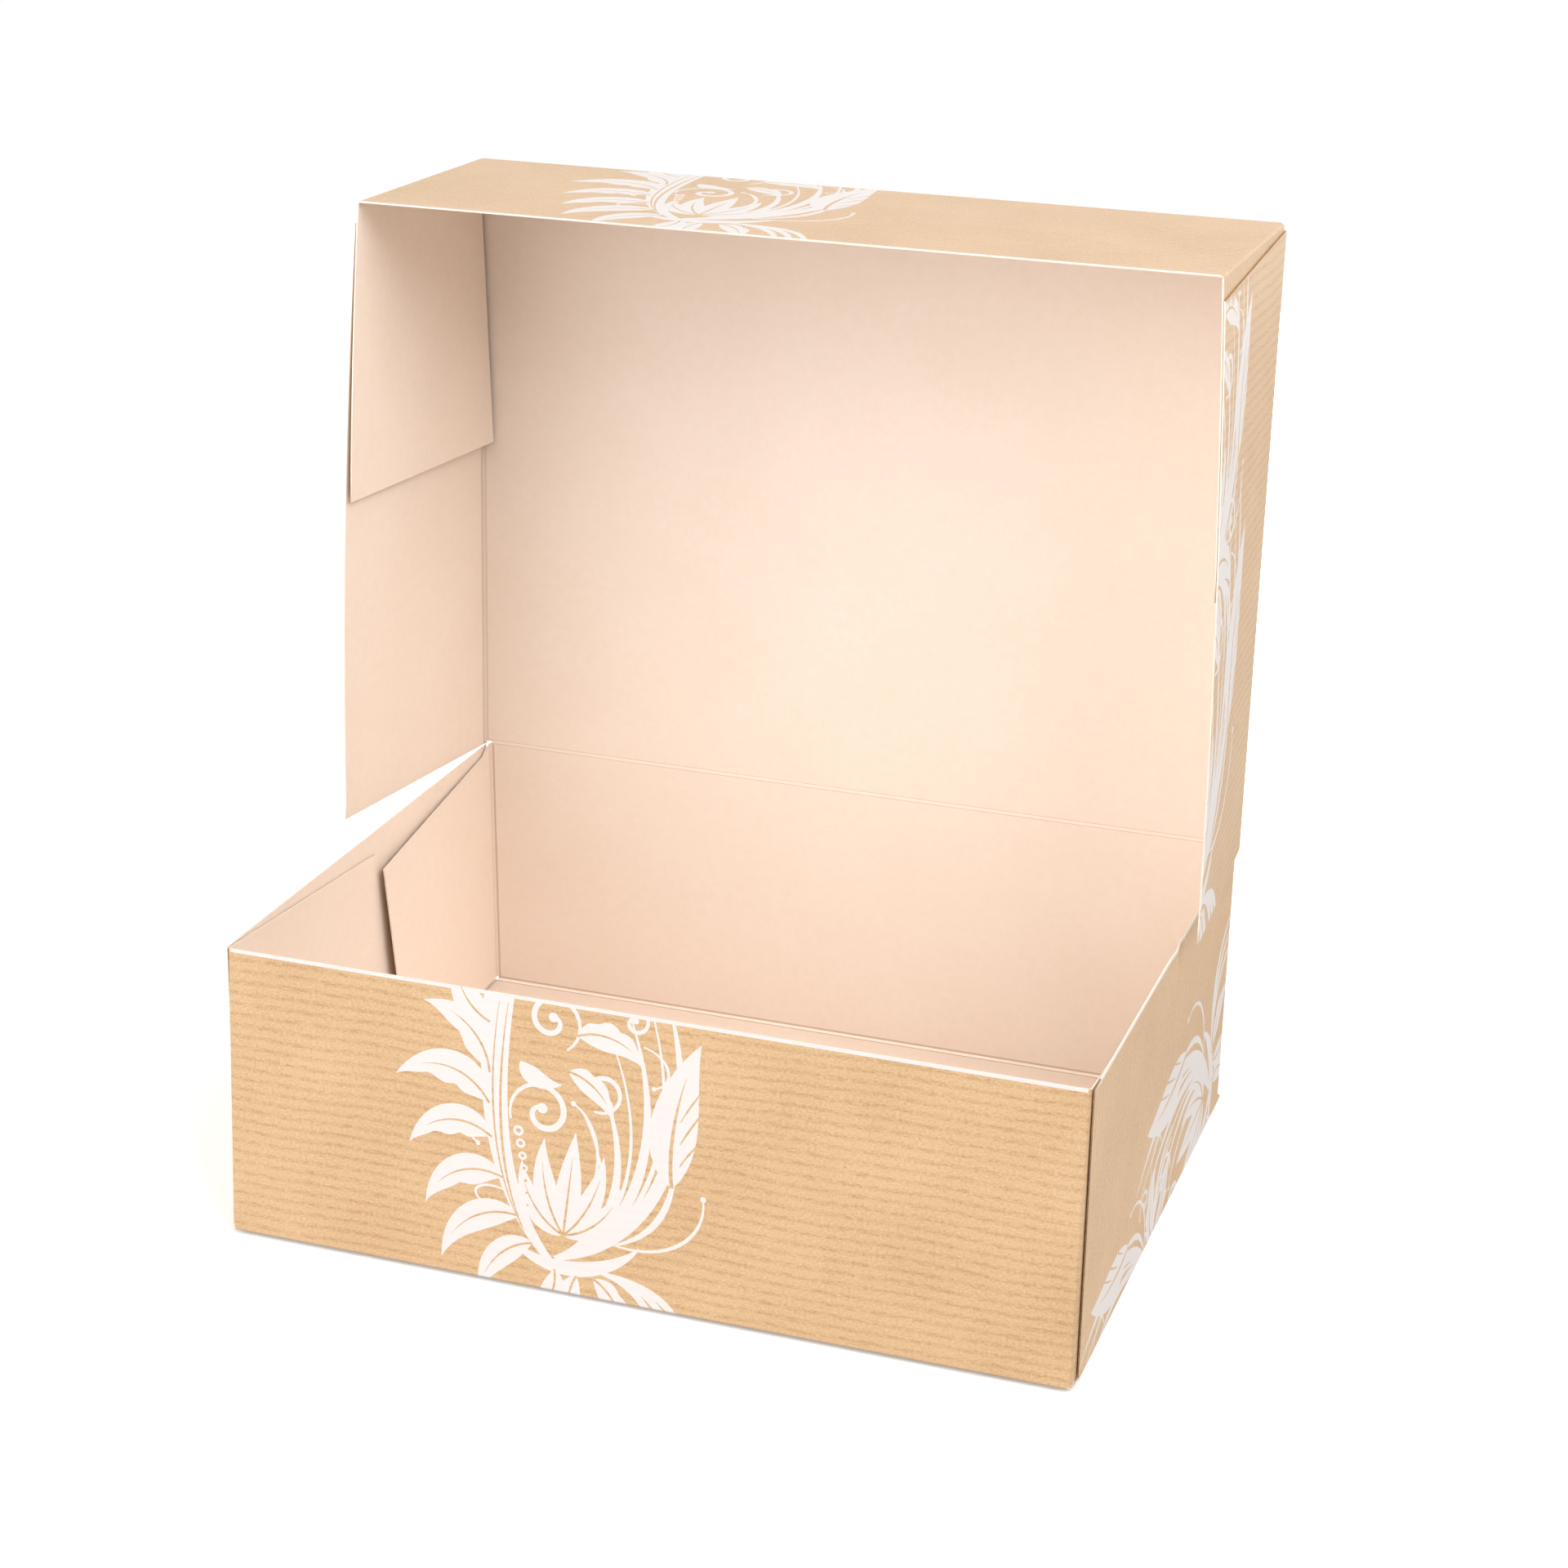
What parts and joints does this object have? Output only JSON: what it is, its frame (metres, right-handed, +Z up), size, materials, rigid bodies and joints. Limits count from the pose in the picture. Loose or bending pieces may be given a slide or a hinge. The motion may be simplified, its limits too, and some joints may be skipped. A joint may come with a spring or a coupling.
{
  "type": "pastry box",
  "caption": "Hinged-lid pastry box folded from one sheet of board, an open tray with glued corner flaps and a full-depth lid that turns on its rear crease.",
  "frame": {"origin": "middle of the tray's underside, on the surface that the box stands on", "axes": "+Z up, -Y the front of the tray, +Y the wall that carries the lid's crease, +X to the right of someone facing the front"},
  "size_m": [0.3184, 0.2259, 0.3353],
  "materials": {
    "tray_board": "matt kraft-coloured print outside with bare white ornament, plain peach board inside",
    "lid_board": "matt kraft-coloured print outside with bare white ornament, plain peach board inside"
  },
  "bodies": {
    "tray": {"base_tray": "tray_board"},
    "lid": {"lid": "lid_board"}
  },
  "joints": [
    {"name": "lid_hinge", "type": "hinge", "parent": "tray", "child": "lid", "pos_m": [0, 0.1093, 0.10475], "axis": [-1, 0, 0], "range_deg": [-90.85, 89.15]}
  ]
}
